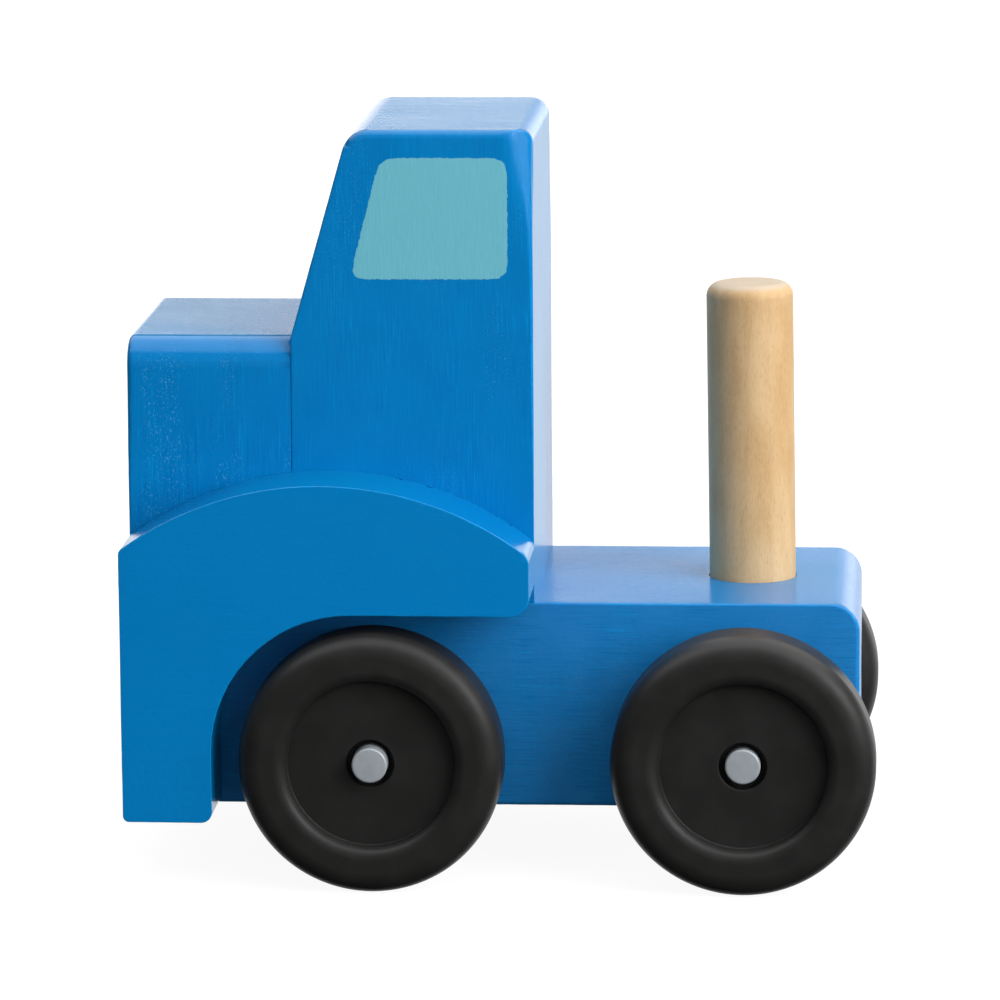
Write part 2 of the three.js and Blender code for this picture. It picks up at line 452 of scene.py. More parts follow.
@dataclass
class TurnedTree:
    """A Geometry Nodes tree that rounds a section's corners and turns it about Z."""

    name: str
    corners: Sequence[SectionCorner]
    sizes: dict[str, float]
    closed: bool
    arc_steps: int = 7
    steps_around: int = 144
    weld: float = 1e-6
    tree: bpy.types.NodeTree = field(init=False)

    def __post_init__(self) -> None:
        """Builds the tree once its sizes are known."""
        self.tree = bpy.data.node_groups.new(self.name, "GeometryNodeTree")
        self.build()

    def node(self, kind: str, **settings: object) -> bpy.types.Node:
        """Adds a node and sets its plain properties."""
        made = self.tree.nodes.new(kind)
        for key, value in settings.items():
            setattr(made, key, value)
        return made

    def join(self, source: bpy.types.NodeSocket, target: bpy.types.NodeSocket) -> None:
        """Links two sockets."""
        self.tree.links.new(source, target)

    def sum_of(self, kind: str, first: object, second: object) -> bpy.types.NodeSocket:
        """A Math node's output; each operand is a number or a socket."""
        made = self.node("ShaderNodeMath", operation=kind)
        for socket, value in zip(made.inputs, (first, second)):
            if isinstance(value, bpy.types.NodeSocket):
                self.join(value, socket)
            else:
                socket.default_value = value
        return made.outputs[0]

    def build(self) -> None:
        """Lays out the sockets and nodes."""
        sockets = self.tree.interface
        sockets.new_socket("Geometry", in_out="INPUT", socket_type="NodeSocketGeometry")
        for size in self.sizes:
            sockets.new_socket(size, in_out="INPUT", socket_type="NodeSocketFloat")
        for count in ("arc_steps", "steps_around"):
            sockets.new_socket(count, in_out="INPUT", socket_type="NodeSocketInt")
        sockets.new_socket("finish", in_out="INPUT", socket_type="NodeSocketMaterial")
        sockets.new_socket("Geometry", in_out="OUTPUT", socket_type="NodeSocketGeometry")
        given = self.node("NodeGroupInput").outputs
        section = self.section(given)
        turned = self.turn(section, given)
        smooth = self.node("GeometryNodeSetShadeSmooth")
        real = self.node("GeometryNodeRealizeInstances")
        dressed = self.node("GeometryNodeSetMaterial")
        self.join(turned, smooth.inputs["Geometry"])
        self.join(smooth.outputs[0], real.inputs["Geometry"])
        self.join(real.outputs[0], dressed.inputs["Geometry"])
        self.join(given["finish"], dressed.inputs["Material"])
        self.join(dressed.outputs[0], self.node("NodeGroupOutput").inputs[0])

    def section(self, given: bpy.types.NodeOutputs) -> bpy.types.NodeSocket:
        """The rounded section as a curve in the XZ plane."""
        index = self.node("GeometryNodeInputIndex").outputs[0]
        places = self.node("GeometryNodeIndexSwitch", data_type="VECTOR")
        rounds = self.node("GeometryNodeIndexSwitch", data_type="FLOAT")
        for switch in (places, rounds):
            while len(switch.index_switch_items) < len(self.corners):
                switch.index_switch_items.new()
            self.join(index, switch.inputs["Index"])
        for order, corner in enumerate(self.corners):
            place = self.node("ShaderNodeCombineXYZ")
            if corner.radius:
                self.join(given[corner.radius], place.inputs["X"])
            self.join(given[corner.height], place.inputs["Z"])
            self.join(place.outputs[0], places.inputs[order + 1])
            self.join(given[corner.rounding], rounds.inputs[order + 1])
        points = self.node("GeometryNodePoints")
        points.inputs["Count"].default_value = len(self.corners)
        self.join(places.outputs[0], points.inputs["Position"])
        curve = self.node("GeometryNodePointsToCurves")
        self.join(points.outputs[0], curve.inputs["Points"])
        cyclic = self.node("GeometryNodeSetSplineCyclic")
        cyclic.inputs["Cyclic"].default_value = self.closed
        self.join(curve.outputs[0], cyclic.inputs["Geometry"])
        fillet = self.node("GeometryNodeFilletCurve", mode="POLY")
        fillet.inputs["Limit Radius"].default_value = False
        self.join(cyclic.outputs[0], fillet.inputs["Curve"])
        self.join(given["arc_steps"], fillet.inputs["Count"])
        self.join(rounds.outputs[0], fillet.inputs["Radius"])
        return fillet.outputs[0]

    def turn(self, section: bpy.types.NodeSocket, given: bpy.types.NodeOutputs) -> bpy.types.NodeSocket:
        """The section turned about Z, welded into one closed body."""
        points = self.node("GeometryNodeCurveToPoints", mode="EVALUATED")
        self.join(section, points.inputs["Curve"])
        size = self.node("GeometryNodeAttributeDomainSize", component="POINTCLOUD")
        self.join(points.outputs["Points"], size.inputs[0])
        count = size.outputs["Point Count"]
        rows = self.sum_of("ADD", count, 1.0 if self.closed else 0.0)
        columns = self.sum_of("ADD", given["steps_around"], 1.0)
        grid = self.node("GeometryNodeMeshGrid")
        self.join(columns, grid.inputs["Vertices X"])
        self.join(rows, grid.inputs["Vertices Y"])
        where = self.node("ShaderNodeSeparateXYZ")
        self.join(self.node("GeometryNodeInputPosition").outputs[0], where.inputs[0])
        share = self.sum_of("ADD", where.outputs["Y"], 0.5)
        row = self.sum_of("ROUND", self.sum_of("MULTIPLY", share, self.sum_of("SUBTRACT", rows, 1.0)), 0.0)
        sample = self.node("GeometryNodeSampleIndex", data_type="FLOAT_VECTOR", domain="POINT")
        self.join(points.outputs["Points"], sample.inputs["Geometry"])
        self.join(self.node("GeometryNodeInputPosition").outputs[0], sample.inputs["Value"])
        self.join(self.sum_of("MODULO", row, count), sample.inputs["Index"])
        spot = self.node("ShaderNodeSeparateXYZ")
        self.join(sample.outputs[0], spot.inputs[0])
        angle = self.sum_of("MULTIPLY", self.sum_of("ADD", where.outputs["X"], 0.5), 2 * math.pi)
        place = self.node("ShaderNodeCombineXYZ")
        for axis, wave in (("X", "COSINE"), ("Y", "SINE")):
            share = self.sum_of("MULTIPLY", self.sum_of(wave, angle, 0.0), spot.outputs["X"])
            self.join(share, place.inputs[axis])
        self.join(spot.outputs["Z"], place.inputs["Z"])
        move = self.node("GeometryNodeSetPosition")
        self.join(grid.outputs["Mesh"], move.inputs["Geometry"])
        self.join(place.outputs[0], move.inputs["Position"])
        weld = self.node("GeometryNodeMergeByDistance")
        weld.inputs["Distance"].default_value = self.weld
        self.join(move.outputs[0], weld.inputs["Geometry"])
        return weld.outputs[0]

    def mesh(self, material: bpy.types.Material) -> bpy.types.Mesh:
        """Runs the tree.

        Args:
            material: the piece's finish.

        Returns:
            The turned body in metres, about Z, faces outwards.
        """
        carrier = bpy.data.objects.new(self.name, bpy.data.meshes.new(self.name))
        bpy.context.scene.collection.objects.link(carrier)
        step = carrier.modifiers.new(self.name, "NODES")
        step.node_group = self.tree
        values: dict[str, object] = {name: size / METRE for name, size in self.sizes.items()}
        values.update(arc_steps=self.arc_steps, steps_around=self.steps_around, finish=material)
        for item in self.tree.interface.items_tree:
            if item.in_out == "INPUT" and item.name in values:
                step[item.identifier] = values[item.name]
        made = evaluated_mesh(carrier)
        bpy.data.objects.remove(carrier)
        shape = bmesh.new()
        shape.from_mesh(made)
        bmesh.ops.recalc_face_normals(shape, faces=shape.faces)
        shape.to_mesh(made)
        shape.free()
        return made


# ---- Finishes -------------------------------------------------------------------------------

Colour = tuple[float, float, float]


class Palette:
    """Lays out one material: short calls for the nodes that the finishes share."""

    def __init__(self, name: str) -> None:
        """Starts a material with a Principled surface."""
        self.material = bpy.data.materials.new(name)
        self.material.use_nodes = True
        self.tree = self.material.node_tree
        self.tree.nodes.clear()
        output = self.tree.nodes.new("ShaderNodeOutputMaterial")
        self.surface = self.tree.nodes.new("ShaderNodeBsdfPrincipled")
        self.tree.links.new(self.surface.outputs[0], output.inputs["Surface"])
        self.place = self.tree.nodes.new("ShaderNodeTexCoord").outputs["Object"]
        self.normal = self.tree.nodes.new("ShaderNodeNewGeometry").outputs["Normal"]

    def feed(self, socket: bpy.types.NodeSocket, value: object) -> None:
        """Links a socket, or sets it from a number or a colour."""
        if isinstance(value, bpy.types.NodeSocket):
            self.tree.links.new(value, socket)
        elif socket.type == "RGBA" and not isinstance(value, (int, float)):
            socket.default_value = (*value, 1.0)
        else:
            socket.default_value = value

    def stretched(self, scale: Sequence[float], shift: Sequence[float] = (0, 0, 0)) -> bpy.types.NodeSocket:
        """Object coordinates in millimetres, stretched and shifted for a pattern."""
        made = self.tree.nodes.new("ShaderNodeMapping")
        made.inputs["Location"].default_value = shift
        made.inputs["Scale"].default_value = [METRE * part for part in scale]
        self.feed(made.inputs["Vector"], self.place)
        return made.outputs[0]

    def grain(
        self, vector: bpy.types.NodeSocket, scale: float, detail: float = 3.0, rough: float = 0.55
    ) -> bpy.types.NodeSocket:
        """A noise value from 0 to 1."""
        made = self.tree.nodes.new("ShaderNodeTexNoise")
        self.feed(made.inputs["Vector"], vector)
        made.inputs["Scale"].default_value = scale
        made.inputs["Detail"].default_value = detail
        made.inputs["Roughness"].default_value = rough
        return made.outputs["Fac"]

    def ramp(
        self, value: object, low: float, high: float, start: float = 0.0, end: float = 1.0
    ) -> bpy.types.NodeSocket:
        """A smooth step of value from start to end as it goes from low to high."""
        made = self.tree.nodes.new("ShaderNodeMapRange")
        made.interpolation_type = "SMOOTHSTEP"
        for name, number in (("Value", value), ("From Min", low), ("From Max", high),
                             ("To Min", start), ("To Max", end)):
            self.feed(made.inputs[name], number)
        return made.outputs[0]

    def math(
        self, kind: str, first: object, second: object = 0.0, third: object = 0.0
    ) -> bpy.types.NodeSocket:
        """A Math node's output."""
        made = self.tree.nodes.new("ShaderNodeMath")
        made.operation = kind
        for socket, value in zip(made.inputs, (first, second, third)):
            self.feed(socket, value)
        return made.outputs[0]

    def blend(self, share: object, first: object, second: object) -> bpy.types.NodeSocket:
        """Two colours mixed."""
        made = self.tree.nodes.new("ShaderNodeMix")
        made.data_type = "RGBA"
        made.clamp_factor = True
        self.feed(made.inputs["Factor"], share)
        self.feed(made.inputs[6], first)
        self.feed(made.inputs[7], second)
        return made.outputs[2]

    def parts(self, vector: bpy.types.NodeSocket) -> tuple[bpy.types.NodeSocket, ...]:
        """The X, Y and Z of a vector."""
        made = self.tree.nodes.new("ShaderNodeSeparateXYZ")
        self.feed(made.inputs[0], vector)
        return tuple(made.outputs)

    def facing_up(self) -> bpy.types.NodeSocket:
        """1 where the surface faces up or down, 0 where it is upright."""
        upward = self.math("ABSOLUTE", self.parts(self.normal)[2])
        return self.ramp(upward, 0.6, 0.85)

    def edge_turn(self) -> bpy.types.NodeSocket:
        """How tightly the surface bends, as stored on the sanded blocks."""
        made = self.tree.nodes.new("ShaderNodeAttribute")
        made.attribute_name = "edge_turn"
        return made.outputs["Fac"]

    def relief(self, layers: Iterable[tuple[object, float]]) -> None:
        """Stacks bump layers of (height 0 to 1, depth in millimetres) on the surface."""
        last = None
        for height, depth in layers:
            bump = self.tree.nodes.new("ShaderNodeBump")
            bump.inputs["Strength"].default_value = 1.0
            bump.inputs["Distance"].default_value = depth / METRE
            self.feed(bump.inputs["Height"], height)
            if last is not None:
                self.feed(bump.inputs["Normal"], last)
            last = bump.outputs[0]
        if last is not None:
            self.feed(self.surface.inputs["Normal"], last)


@dataclass(frozen=True)
class PrintedPane:
    """A window pane printed on the cab: a rounded shape with four straight sides.

    The sides are given by the pane's corners in its own flat axes, going round once.
    """

    corners: tuple[Point2, ...]
    corner_round: float = 2.0
    raggedness: float = 0.20

    def mask(
        self, palette: Palette, u: bpy.types.NodeSocket, v: bpy.types.NodeSocket
    ) -> bpy.types.NodeSocket:
        """1 inside the print, 0 outside, with a slightly ragged edge.

        Args:
            palette: the material being laid out.
            u: first flat coordinate, in millimetres.
            v: second flat coordinate, in millimetres.

        Returns:
            The mask.
        """
        middle = sum((Vector(corner) for corner in self.corners), Vector((0, 0))) / len(self.corners)
        blend_width = 1.757 * self.corner_round  # smooth maximum that rounds a corner by its radius
        distance = None
        for first, second in zip(self.corners, (*self.corners[1:], self.corners[0])):
            along = Vector(second) - Vector(first)
            normal = Vector((along.y, -along.x)).normalized()
            if normal.dot(middle - Vector(first)) > 0:
                normal.negate()
            offset = -normal.dot(Vector(first))
            side = palette.math("MULTIPLY_ADD", u, normal.x, offset)
            side = palette.math("MULTIPLY_ADD", v, normal.y, side)
            distance = side if distance is None else palette.math("SMOOTH_MAX", distance, side, blend_width)
        ragged = palette.grain(palette.stretched((1.0, 1.0, 0.8)), 2.2, 2.0, 0.6)
        ragged = palette.math("MULTIPLY_ADD", ragged, 2 * self.raggedness, -self.raggedness)
        distance = palette.math("ADD", distance, ragged)
        return palette.ramp(distance, -0.05, 0.05, 1.0, 0.0)


@dataclass(frozen=True)
class BluePaint:
    """Satin blue paint over sanded wood, thin enough for the fibres to show.

    Sizes are millimetres; the colours are linear.
    """

    name: str
    run: GrainRun = GrainRun.UPRIGHT
    streaks: float = 1.0
    specks: float = 1.0
    leather: float = 0.5
    cloudy: float = 0.45
    shift: float = 0.0
    side_panes: tuple[PrintedPane, ...] = ()
    front_panes: tuple[PrintedPane, ...] = ()
    side_face: float = 22.0
    front_plane: tuple[Vector, Vector] | None = None
    base: Colour = (0.0002, 0.187, 0.490)
    deep: Colour = (0.0002, 0.148, 0.418)
    light: Colour = (0.001, 0.262, 0.620)
    # painted light: a lighter blue on faces turned up, forward or back
    painted_top_end_light: Colour = (0.0002, 0.206, 0.485)
    pale: Colour = (0.10, 0.42, 0.70)
    pane: Colour = (0.130, 0.440, 0.540)
    pane_light: Colour = (0.180, 0.50, 0.60)
    pane_dark: Colour = (0.075, 0.37, 0.50)
    ink_depth: float = 0.012

    def build(self) -> bpy.types.Material:
        """Lays out the material."""
        palette = Palette(self.name)
        move = (self.shift, self.shift * 0.7, -self.shift)
        up = palette.facing_up()
        fibres = self.fibre_coordinates(palette, up, move)
        fibre = palette.grain(fibres, 4.6, 4.0, 0.65)
        hair = palette.grain(fibres, 11.0, 2.0, 0.5)
        cloud = palette.grain(palette.stretched((1, 1, 1), move), 0.09, 3.0)
        colour = palette.blend(palette.ramp(cloud, 0.3, 0.7, 0.0, self.cloudy), self.base, self.deep)
        patchy = palette.grain(palette.stretched((1, 1, 0.3), move), 0.2, 2.0)
        lively = palette.ramp(patchy, 0.35, 0.65, 0.3, 1.0)
        bright = palette.ramp(fibre, 0.52, 0.70, 0.0, 0.75 * self.streaks)
        bright_line = palette.math("MULTIPLY", bright, lively)
        colour = palette.blend(bright_line, colour, self.light)
        dark_line = palette.math("MULTIPLY", palette.ramp(fibre, 0.50, 0.30, 0.0, 0.9 * self.streaks), lively)
        colour = palette.blend(dark_line, colour, self.deep)
        # Painted light: faces turned up or to the front or back get a lighter blue that stands in for how
        # light and reflections fall on them.
        square_on = palette.math("MAXIMUM", palette.math("ABSOLUTE", palette.parts(palette.normal)[0]),
                                 palette.parts(palette.normal)[2])
        colour = palette.blend(palette.ramp(square_on, 0.93, 0.99), colour, self.painted_top_end_light)
        colour = palette.blend(self.speck_mask(palette, move), colour, self.pale)
        # Tight edges go paler: partly thinned paint, partly a painted highlight.
        colour = self.worn_and_highlit_edges(palette, colour, move)
        colour, printed = self.with_panes(palette, colour, fibre, hair)
        palette.feed(palette.surface.inputs["Base Color"], colour)
        peel = palette.grain(palette.stretched((1, 1, 1), move), 1.25, 2.0, 0.5)
        rough = palette.math("MULTIPLY_ADD", palette.grain(fibres, 1.6, 3.0), 0.10, 0.14)
        layers = [
            (fibre, 0.012 * self.streaks),
            (hair, 0.003 * self.streaks),
            (peel, 0.03 * self.leather),
        ]
        if printed is not None:
            rough = palette.math("MULTIPLY_ADD", printed, 0.12, rough)
            layers.append((printed, self.ink_depth))
        palette.feed(palette.surface.inputs["Roughness"], rough)
        palette.surface.inputs["IOR"].default_value = 1.34
        palette.relief(layers)
        return palette.material

    def fibre_coordinates(
        self, palette: Palette, up: bpy.types.NodeSocket, move: Sequence[float]
    ) -> bpy.types.NodeSocket:
        """Pattern coordinates stretched along the fibres: always lengthwise on upward faces."""
        sides = palette.stretched(self.run.value, move)
        tops = palette.stretched(GrainRun.LENGTHWISE.value, move)
        made = palette.tree.nodes.new("ShaderNodeMix")
        made.data_type = "VECTOR"
        palette.feed(made.inputs[0], up)
        palette.feed(made.inputs[4], sides)
        palette.feed(made.inputs[5], tops)
        return made.outputs[1]

    def speck_mask(self, palette: Palette, move: Sequence[float]) -> bpy.types.NodeSocket:
        """Tiny pale specks where fibre ends broke through, gathered in patches."""
        dots = palette.grain(palette.stretched((1, 1, 0.5), move), 6.5, 2.0, 0.6)
        patch = palette.grain(palette.stretched((1, 1, 0.3), move), 0.14, 3.0)
        dots = palette.ramp(dots, 0.60, 0.70)
        patch = palette.ramp(patch, 0.44, 0.62, 0.06, 1.0)
        return palette.math("MULTIPLY", palette.math("MULTIPLY", dots, patch), 0.38 * self.specks)

    def worn_and_highlit_edges(
        self, palette: Palette, colour: bpy.types.NodeSocket, move: Sequence[float]
    ) -> bpy.types.NodeSocket:
        """Paint thinned to a paler blue along tight edges, unevenly; the same pale line is also a painted
        highlight along the edges.
        """
        broken = palette.grain(palette.stretched((1, 1, 1), move), 0.8, 3.0)
        worn = palette.math("MULTIPLY", palette.ramp(palette.edge_turn(), 0.35, 0.9),
                            palette.ramp(broken, 0.38, 0.62, 0.12, 0.5))
        return palette.blend(worn, colour, self.light)

    def with_panes(
        self,
        palette: Palette,
        colour: bpy.types.NodeSocket,
        fibre: bpy.types.NodeSocket,
        hair: bpy.types.NodeSocket,
    ) -> tuple[bpy.types.NodeSocket, bpy.types.NodeSocket | None]:
        """Adds the printed windows.

        Args:
            palette: the material being laid out.
            colour: the paint so far.
            fibre: the coarse fibre value.
            hair: the fine fibre value.

        Returns:
            The colour with its prints, and the mask of all prints, or None where there are none.
        """
        if not (self.side_panes or self.front_panes):
            return colour, None
        x, y, z = palette.parts(palette.stretched((1, 1, 1)))
        masks = []
        for pane in self.side_panes:
            on_side = palette.ramp(palette.math("ABSOLUTE", y), self.side_face - 1.5, self.side_face - 1.0)
            masks.append(palette.math("MULTIPLY", pane.mask(palette, x, z), on_side))
        if self.front_plane is not None:
            point, normal = self.front_plane
            along = palette.math("MULTIPLY_ADD", x, normal.x, -normal.dot(point))
            along = palette.math("MULTIPLY_ADD", z, normal.z, along)
            on_front = palette.ramp(along, -1.2, -0.7)
            for pane in self.front_panes:
                masks.append(palette.math("MULTIPLY", pane.mask(palette, y, z), on_front))
        printed = masks[0]
        for mask in masks[1:]:
            printed = palette.math("MAXIMUM", printed, mask)
        ink = palette.blend(palette.ramp(hair, 0.45, 0.70, 0.0, 0.6), self.pane, self.pane_light)
        ink = palette.blend(palette.ramp(fibre, 0.42, 0.25, 0.0, 0.2), ink, self.pane_dark)
        return palette.blend(printed, colour, ink), printed


@dataclass(frozen=True)
class BareWood:
    """Pale close-grained hardwood, sanded and left bare."""

    name: str = "bare_wood"
    heart: tuple[float, float] = (-60.0, 9.0)  # where the tree's heart lies from the truck's middle
    ring_gap: float = 3.4
    mid: Colour = (0.520, 0.325, 0.146)
    dark: Colour = (0.410, 0.235, 0.094)
    pale: Colour = (0.620, 0.425, 0.225)
    # paler grey on upward faces: partly end grain, partly a painted sheen from the light above
    end_grain_and_top_sheen: Colour = (0.50, 0.42, 0.32)

    def build(self) -> bpy.types.Material:
        """Lays out the material."""
        palette = Palette(self.name)
        x, y, _ = palette.parts(palette.stretched((1, 1, 1)))
        wander = palette.grain(palette.stretched((1, 1, 0.12)), 0.22, 3.0)
        away = palette.math("POWER", palette.math("ADD", x, -self.heart[0]), 2.0)
        away = palette.math("ADD", away, palette.math("POWER", palette.math("ADD", y, -self.heart[1]), 2.0))
        away = palette.math("MULTIPLY_ADD", wander, 5.0, palette.math("SQRT", away))
        ring = palette.math("SINE", palette.math("MULTIPLY", away, 2 * math.pi / self.ring_gap))
        fleck = palette.grain(palette.stretched((1, 1, 0.28)), 3.6, 3.0, 0.65)
        pore = palette.grain(palette.stretched((1, 1, 0.09)), 7.0, 2.0, 0.5)
        cloud = palette.grain(palette.stretched((1, 1, 0.3)), 0.18, 2.0)
        colour = palette.blend(palette.ramp(cloud, 0.35, 0.68), self.mid, self.pale)
        colour = palette.blend(palette.ramp(ring, 0.1, 1.0, 0.0, 0.14), colour, self.dark)
        colour = palette.blend(palette.ramp(fleck, 0.5, 0.72, 0.0, 0.5), colour, self.pale)
        colour = palette.blend(palette.ramp(fleck, 0.47, 0.28, 0.0, 0.45), colour, self.dark)
        colour = palette.blend(palette.ramp(pore, 0.60, 0.72, 0.0, 0.3), colour, self.dark)
        # Upward faces blend toward a paler grey: partly the end grain, partly a painted sheen from the light
        # above.
        top = palette.ramp(palette.parts(palette.normal)[2], 0.55, 0.9, 0.0, 0.8)
        colour = palette.blend(top, colour, self.end_grain_and_top_sheen)
        palette.feed(palette.surface.inputs["Base Color"], colour)
        palette.feed(palette.surface.inputs["Roughness"], palette.ramp(fleck, 0.3, 0.7, 0.5, 0.66))
        palette.surface.inputs["Specular IOR Level"].default_value = 0.4
        palette.relief(((fleck, 0.025), (pore, 0.025)))
        return palette.material


@dataclass(frozen=True)
class MouldedPlastic:
    """Black plastic from a fine-blasted mould, rubbed a little shiny."""

    name: str = "black_plastic"
    base: Colour = (0.0155, 0.0149, 0.0144)
    scuffed: Colour = (0.022, 0.0215, 0.021)

    def build(self) -> bpy.types.Material:
        """Lays out the material."""
        palette = Palette(self.name)
        even = palette.stretched((1, 1, 1))
        blast = palette.grain(even, 7.0, 2.0, 0.6)
        cloud = palette.grain(even, 0.22, 3.0)
        scuff = palette.grain(palette.stretched((1, 0.15, 1)), 2.4, 3.0)
        colour = palette.blend(palette.ramp(cloud, 0.35, 0.7, 0.0, 0.5), self.base, self.scuffed)
        colour = palette.blend(palette.ramp(scuff, 0.66, 0.76, 0.0, 0.35), colour, self.scuffed)
        palette.feed(palette.surface.inputs["Base Color"], colour)
        rough = palette.math("MULTIPLY_ADD", cloud, 0.10, 0.38)
        palette.feed(palette.surface.inputs["Roughness"], rough)
        palette.surface.inputs["IOR"].default_value = 1.38
        palette.relief(((blast, 0.006), (cloud, 0.05)))
        return palette.material


@dataclass(frozen=True)
class PlatedSteel:
    """Zinc-plated cut rod: drawn along its length, faintly sawn on its ends."""

    name: str = "plated_steel"
    base: Colour = (0.42, 0.465, 0.50)
    dull: Colour = (0.36, 0.395, 0.42)

    def build(self) -> bpy.types.Material:
        """Lays out the material."""
        palette = Palette(self.name)
        sawn = palette.grain(palette.stretched((1, 1, 0.06)), 4.0, 3.0)
        drawn = palette.grain(palette.stretched((1, 0.04, 1)), 3.0, 3.0)
        cloud = palette.grain(palette.stretched((1, 1, 1)), 0.8, 3.0)
        palette.feed(palette.surface.inputs["Base Color"],
                     palette.blend(palette.ramp(cloud, 0.35, 0.7, 0.0, 0.6), self.base, self.dull))
        palette.surface.inputs["Metallic"].default_value = 0.3
        palette.feed(palette.surface.inputs["Roughness"], palette.ramp(sawn, 0.3, 0.7, 0.28, 0.42))
        palette.relief(((sawn, 0.006), (drawn, 0.006)))
        return palette.material


def dress(made: bpy.types.Object, material: bpy.types.Material) -> None:
    """Gives every slot of an object one material."""
    if not made.data.materials:
        made.data.materials.append(material)
    for slot in made.material_slots:
        slot.material = material


def settle(made: bpy.types.Object, node: str, body: str) -> bpy.types.Object:
    """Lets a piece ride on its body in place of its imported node.

    Args:
        made: the finished piece.
        node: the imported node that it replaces.
        body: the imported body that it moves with.

    Returns:
        The same piece.
    """
    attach(made, body)
    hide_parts(node)
    return made


# ---- Wood blocks ------------------------------------------------------------------------------


@dataclass
class Truck:
    """Sizes that several pieces share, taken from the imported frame."""

    chassis: Span = field(default_factory=lambda: Span.of("chassis_block"))
    hood: Span = field(default_factory=lambda: Span.of("hood_block"))
    cab: Span = field(default_factory=lambda: Span.of("cab_block"))
    peg: Span = field(default_factory=lambda: Span.of("stacking_peg"))
    peg_lean: float = math.radians(0.7)
    glue: float = 0.012  # what is left of the glue film once it is squeezed and painted over
    dowel_play: float = 0.1

    @property
    def front(self) -> float:
        """X of the truck's front face."""
        return self.chassis.high.x

    @property
    def side(self) -> float:
        """Half the width of the blocks."""
        return self.chassis.high.y

    def back(self, distance: float) -> float:
        """X of a place that far behind the front face."""
        return self.front - distance

    def peg_place(self) -> Matrix:
        """Takes a shape made about Z to the slightly leaning peg's axis; its top stays put."""
        top = Vector((self.peg.centre.x, self.peg.centre.y, self.peg.high.z))
        lean = Matrix.Rotation(self.peg_lean, 4, "Y")
        return Matrix.Translation(top) @ lean @ Matrix.Translation(Vector((0, 0, -top.z)))

    def dowel_holes(self, *names: str) -> list[bmesh.types.BMesh]:
        """Cutters for the holes of hidden dowels."""
        holes = []
        for name in names:
            span = Span.of(name)
            axis = "z" if span.size.z > span.size.y else "y"
            radius = span.size.x / 2 + self.dowel_play
            length = max(span.size.y, span.size.z) + 1.0
            holes.append(cylinder_cutter(span.centre, radius, length, axis))
        return holes


UPRIGHT_DOWELS = ("hood_dowel_left", "hood_dowel_right", "cab_dowel_front", "cab_dowel_rear")
FENDER_DOWELS = {
    side: (f"fender_{side.word}_dowel_front", f"fender_{side.word}_dowel_rear") for side in Side
}
ALL_DOWELS = (*UPRIGHT_DOWELS, *(name for names in FENDER_DOWELS.values() for name in names))


@dataclass
class ChassisBlock:
    """The full-length lower block: axle bores, the peg's blind hole, rounded tail."""

    truck: Truck
    tail_round: float = 4.1
    corner_round: float = 0.8
    deck_edge: float = 0.35
    lower_edge: float = 0.7
    axle_play: float = 0.3
    peg_play: float = 0.12
    peg_spare: float = 0.5
    cell: float = 1.3

    def build(self, finish: bpy.types.Material) -> bpy.types.Object:
        """Makes the block, dressed and riding on the truck body."""
        truck, span = self.truck, self.truck.chassis
        outline = rounded_outline((
            Corner(span.high.x, span.low.z, self.corner_round),
            Corner(span.low.x, span.low.z, self.corner_round),
            Corner(span.low.x, span.high.z, self.tail_round),
            Corner(span.high.x, span.high.z),
        ))
        block = rounded_prism(outline, Push.ACROSS, span.low.y, span.high.y, self.edge_round)
        holes = []
        for axle in Axle:
            rod = Span.of(f"{axle.value}_axle_rod")
            centre = Vector((rod.centre.x, 0, rod.centre.z))
            holes.append(cylinder_cutter(centre, rod.size.x / 2 + self.axle_play, span.size.y + 4, "y"))
        depth = 2 * (span.high.z - truck.peg.low.z + self.peg_spare)
        peg_radius = truck.peg.size.x / 2 + self.peg_play
        peg_hole = cylinder_cutter(Vector((0, 0, span.high.z)), peg_radius, depth, "z")
        peg_hole.transform(truck.peg_place())
        holes.append(peg_hole)
        holes += truck.dowel_holes(*ALL_DOWELS)
        made = sanded_piece(drilled(block, holes), "chassis_block_painted", Sanding(seed=1.0), self.cell)
        dress(made, finish)
        return settle(made, "chassis_block", "truck_body")

    def edge_round(self, u: float, v: float, is_high: bool) -> float:
        """Long edges: crisp along the deck, softer underneath and at the tail."""
        span = self.truck.chassis
        if v > span.high.z - 0.01:
            return self.deck_edge
        share = min(1.0, (span.high.z - v) / self.tail_round)
        return self.deck_edge + (self.lower_edge - self.deck_edge) * share


@dataclass
class HoodBlock:
    """The block in front of the cab, with both long top edges rounded over."""

    truck: Truck
    long_round: float = 4.2
    front_edge: float = 0.85
    seam_edge: float = 0.03
    seam_gap: float = 0.002
    cell: float = 1.1

    def build(self, finish: bpy.types.Material) -> bpy.types.Object:
        """Makes the block, dressed and riding on the truck body."""
        truck, span = self.truck, self.truck.hood
        bottom = truck.chassis.high.z + truck.glue
        outline = rounded_outline((
            Corner(span.low.y, bottom, 0.15),
            Corner(span.high.y, bottom, 0.15),
            Corner(span.high.y, span.high.z, self.long_round),
            Corner(span.low.y, span.high.z, self.long_round),
        ))
        rear = truck.cab.high.x + self.seam_gap
        block = rounded_prism(outline, Push.ALONG, rear, span.high.x, self.edge_round)
        holes = truck.dowel_holes(*UPRIGHT_DOWELS[:2])
        made = sanded_piece(drilled(block, holes), "hood_block_painted", Sanding(seed=3.0), self.cell)
        dress(made, finish)
        return settle(made, "hood_block", "truck_body")

    def edge_round(self, u: float, v: float, is_high: bool) -> float:
        """The front end's edges are sanded; the end glued to the cab stays crisp."""
        if not is_high:
            return self.seam_edge
        return self.front_edge if v > self.truck.hood.low.z + 1 else self.seam_edge


